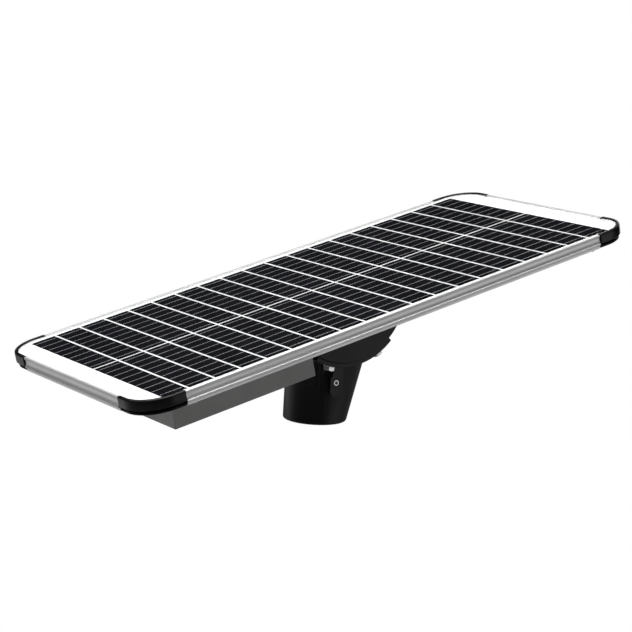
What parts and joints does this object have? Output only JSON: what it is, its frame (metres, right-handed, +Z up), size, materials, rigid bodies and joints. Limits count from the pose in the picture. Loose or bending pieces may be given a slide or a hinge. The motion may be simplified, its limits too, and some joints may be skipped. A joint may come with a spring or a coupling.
{
  "type": "solar street lamp",
  "caption": "All-in-one solar street lamp: a long framed solar panel over a light and battery box, with a tilt joint clamped to a tapered pole-top sleeve.",
  "frame": {"origin": "centre of the pole socket's mouth, at the sleeve's lower edge", "axes": "+Z up the pole, +X towards the panel's raised end, +Y across the lamp to the rear long side"},
  "size_m": [0.6951, 0.3436, 0.2614],
  "materials": {
    "silver_aluminium": "satin anodised",
    "grey_aluminium": "satin powder coat",
    "black_casting": "satin black powder coat",
    "black_plastic": "satin moulded plastic",
    "bright_steel": "zinc plated",
    "panel_glass": "clear tempered",
    "solar_cell": "dark blue-black silicon",
    "ribbon": "tinned",
    "white_sheet": "matte white",
    "black_rubber": "matte",
    "white_board": "white solder mask",
    "green_board": "solder mask",
    "light_chip": "phosphor",
    "clear_lens": "clear moulded lens",
    "battery_wrap": "shrink wrapped cell",
    "white_dome": "milky dome",
    "red_button": "satin",
    "lead_insulation": "pvc"
  },
  "bodies": {
    "sleeve": {"pole_sleeve": "black_casting", "clamp_bolts": "bright_steel", "clamp_washers": "bright_steel", "clamp_nut_bars": "bright_steel"},
    "lamp_head": {"frame_rail_front": "silver_aluminium", "frame_rail_rear": "silver_aluminium", "frame_rail_left": "silver_aluminium", "frame_rail_right": "silver_aluminium", "corner_cap_front_left": "black_plastic", "corner_cap_front_right": "black_plastic", "corner_cap_rear_left": "black_plastic", "corner_cap_rear_right": "black_plastic", "corner_screws": "bright_steel", "panel_glass": "panel_glass", "solar_cells": "solar_cell", "cell_ribbons": "ribbon", "panel_backsheet": "white_sheet", "panel_junction_box": "black_plastic", "junction_box_lid": "black_plastic", "back_plate": "silver_aluminium", "back_plate_screws": "bright_steel", "mounting_plate": "bright_steel", "cable_grommet": "black_rubber", "housing_shell": "grey_aluminium", "housing_gasket": "black_rubber", "housing_screws": "bright_steel", "light_plate": "silver_aluminium", "light_plate_screws": "bright_steel", "led_board": "white_board", "led_chips": "light_chip", "lens_gasket": "black_rubber", "lens_plate": "clear_lens", "lens_frame": "grey_aluminium", "lens_frame_screws": "bright_steel", "battery_tray": "black_plastic", "battery_cells": "battery_wrap", "battery_board": "green_board", "controller_case": "black_plastic", "controller_board": "green_board", "controller_lid": "black_plastic", "switch_body": "black_plastic", "switch_seal": "black_rubber", "switch_nut": "bright_steel", "sensor_dome": "white_dome", "sensor_board": "green_board", "vent_plug": "black_plastic", "panel_leads": "lead_insulation", "battery_leads": "lead_insulation", "light_leads": "lead_insulation", "signal_leads": "lead_insulation", "tilt_base": "black_casting", "tilt_base_bolts": "bright_steel", "tilt_base_washers": "bright_steel"},
    "front_screw": {"set_screw_front": "bright_steel"},
    "rear_screw": {"set_screw_rear": "bright_steel"},
    "button": {"switch_button": "red_button"}
  },
  "joints": [
    {"name": "head_tilt", "type": "hinge", "parent": "sleeve", "child": "lamp_head", "pos_m": [0.002, 0, 0.166], "axis": [0, -1, 0], "range_deg": [-15, 15]},
    {"name": "front_screw_feed", "type": "slide", "parent": "sleeve", "child": "front_screw", "axis": [0, 1, 0], "range_m": [0, 0.004]},
    {"name": "rear_screw_feed", "type": "slide", "parent": "sleeve", "child": "rear_screw", "axis": [0, -1, 0], "range_m": [0, 0.004]},
    {"name": "button_press", "type": "slide", "parent": "lamp_head", "child": "button", "axis": [-0.2588, 0, 0.9659], "range_m": [0, 0.002], "stiffness_N_per_m": 600, "springref_m": -0.002}
  ]
}
